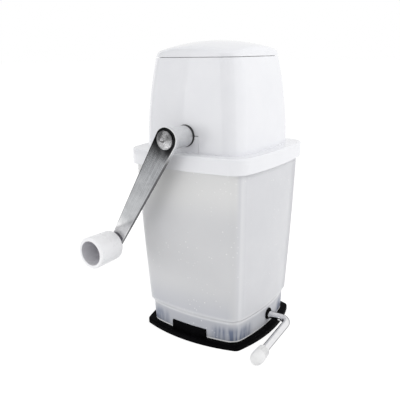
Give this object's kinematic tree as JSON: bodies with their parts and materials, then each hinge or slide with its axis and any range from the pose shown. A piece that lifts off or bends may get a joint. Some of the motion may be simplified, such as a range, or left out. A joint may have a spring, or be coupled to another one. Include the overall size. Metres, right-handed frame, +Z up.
{
  "type": "ice crusher",
  "caption": "Hand cranked ice crusher: white head with a hinged lid and a toothed rotor on a side crank, on a frosted container with a lever operated suction foot.",
  "frame": {"origin": "middle of the suction pad's underside, on the table", "axes": "+Z up; -Y is the front, where the crank is; +X is the side of the suction lever"},
  "size_m": [0.1539, 0.1697, 0.26],
  "materials": {
    "white_shell": "glossy moulded ABS",
    "white_knob": "semi-gloss moulded plastic",
    "white_vinyl": "soft dipped vinyl",
    "frosted_plastic": "translucent frosted plastic",
    "inner_plastic": "matt moulded plastic",
    "black_plastic": "matt moulded plastic",
    "black_rubber": "smooth moulded rubber",
    "chrome": "bright chrome plate",
    "polished_steel": "polished and lightly brushed",
    "satin_steel": "satin turned",
    "steel_hardware": "zinc plated",
    "stainless_cutter": "stamped stainless steel"
  },
  "bodies": {
    "base": {"container": "frosted_plastic", "suction_pad": "black_rubber", "rod_grommet": "black_rubber", "inner_rod_strap": "black_plastic", "middle_rod_strap": "black_plastic", "outer_rod_strap": "black_plastic", "strap_screws": "steel_hardware"},
    "lever": {"lever_rod": "chrome", "lever_cap": "white_vinyl", "lift_cam": "inner_plastic", "cam_pin": "steel_hardware", "rod_retaining_ring": "steel_hardware"},
    "stud": {"pull_stud": "inner_plastic"},
    "head": {"housing": "white_shell", "collar": "white_shell", "crusher_box": "inner_plastic", "left_fixed_comb": "stainless_cutter", "right_fixed_comb": "stainless_cutter", "comb_screws": "steel_hardware", "head_screws": "steel_hardware", "front_bush": "inner_plastic", "rear_bush": "inner_plastic", "lid_hinge_pin": "steel_hardware"},
    "lid": {"lid": "white_shell"},
    "crank": {"crank_shaft": "steel_hardware", "breaker_disc_1": "stainless_cutter", "breaker_disc_2": "stainless_cutter", "breaker_disc_3": "stainless_cutter", "breaker_disc_4": "stainless_cutter", "breaker_disc_5": "stainless_cutter", "disc_spacers": "inner_plastic", "shaft_retaining_ring": "steel_hardware", "shaft_seal": "black_plastic", "crank_sleeve": "satin_steel", "crank_arm": "polished_steel", "crank_screw": "chrome", "knob_axle": "steel_hardware"},
    "knob": {"knob": "white_knob"}
  },
  "joints": [
    {"name": "head_lift", "type": "slide", "parent": "base", "child": "head", "axis": [0, 0, 1], "range_m": [0, 0.06]},
    {"name": "lid_hinge", "type": "hinge", "parent": "head", "child": "lid", "pos_m": [0, 0.04801, 0.2475], "axis": [-1, 0, 0], "range_deg": [0, 110]},
    {"name": "crank_turn", "type": "hinge", "parent": "head", "child": "crank", "pos_m": [0, 0, 0.184], "axis": [0, -1, 0], "continuous": true},
    {"name": "knob_spin", "type": "hinge", "parent": "crank", "child": "knob", "pos_m": [-0.06094, -0.07896, 0.08647], "axis": [0, -1, 0], "continuous": true},
    {"name": "lever_turn", "type": "hinge", "parent": "base", "child": "lever", "pos_m": [0, 0.003, 0.014], "axis": [-1, 0, 0], "range_deg": [0, 165]},
    {"name": "stud_lift", "type": "slide", "parent": "base", "child": "stud", "axis": [0, 0, 1], "range_m": [0, 0.0024]}
  ],
  "couplings": [
    {"joint": "stud_lift", "follows": "lever_turn", "m_per_rad": 0.0008263}
  ]
}
